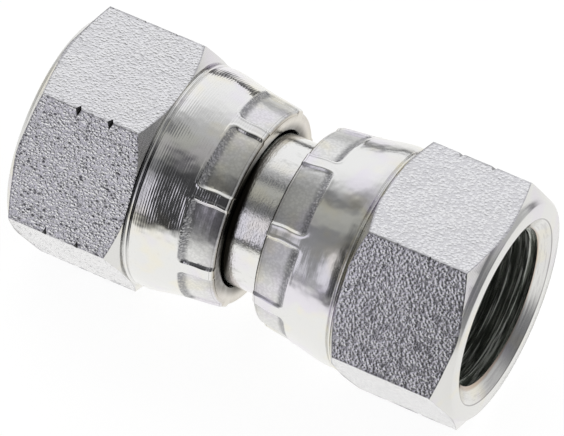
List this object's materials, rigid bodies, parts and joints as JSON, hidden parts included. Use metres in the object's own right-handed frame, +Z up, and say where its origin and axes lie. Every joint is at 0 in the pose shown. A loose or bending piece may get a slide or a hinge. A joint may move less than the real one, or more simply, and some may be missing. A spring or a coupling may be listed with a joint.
{
  "type": "straight hydraulic adapter with swivel nuts",
  "caption": "Straight hydraulic adapter: a short bored nipple with a cone seat and a crimped, internally threaded hexagonal swivel nut at each end.",
  "frame": {"origin": "on the common axis of the nipple and the nuts, midway between the two mouths", "axes": "+X along the axis towards the right nut's mouth, +Z up, square to the wrench flats that the nuts lie on"},
  "size_m": [0.057, 0.0312, 0.027],
  "materials": {
    "nipple_steel": "turned and zinc plated, bright",
    "nut_steel": "zinc plated: rough hexagon, turned and crimped skirt"
  },
  "bodies": {
    "nipple": {"connector_body": "nipple_steel"},
    "left_nut": {"swivel_nut_left": "nut_steel"},
    "right_nut": {"swivel_nut_right": "nut_steel"}
  },
  "joints": [
    {"name": "left_nut_swivel", "type": "hinge", "parent": "nipple", "child": "left_nut", "pos_m": [-0.0175, 0, 0], "axis": [1, 0, 0], "continuous": true},
    {"name": "right_nut_swivel", "type": "hinge", "parent": "nipple", "child": "right_nut", "pos_m": [0.0175, 0, 0], "axis": [1, 0, 0], "continuous": true}
  ]
}
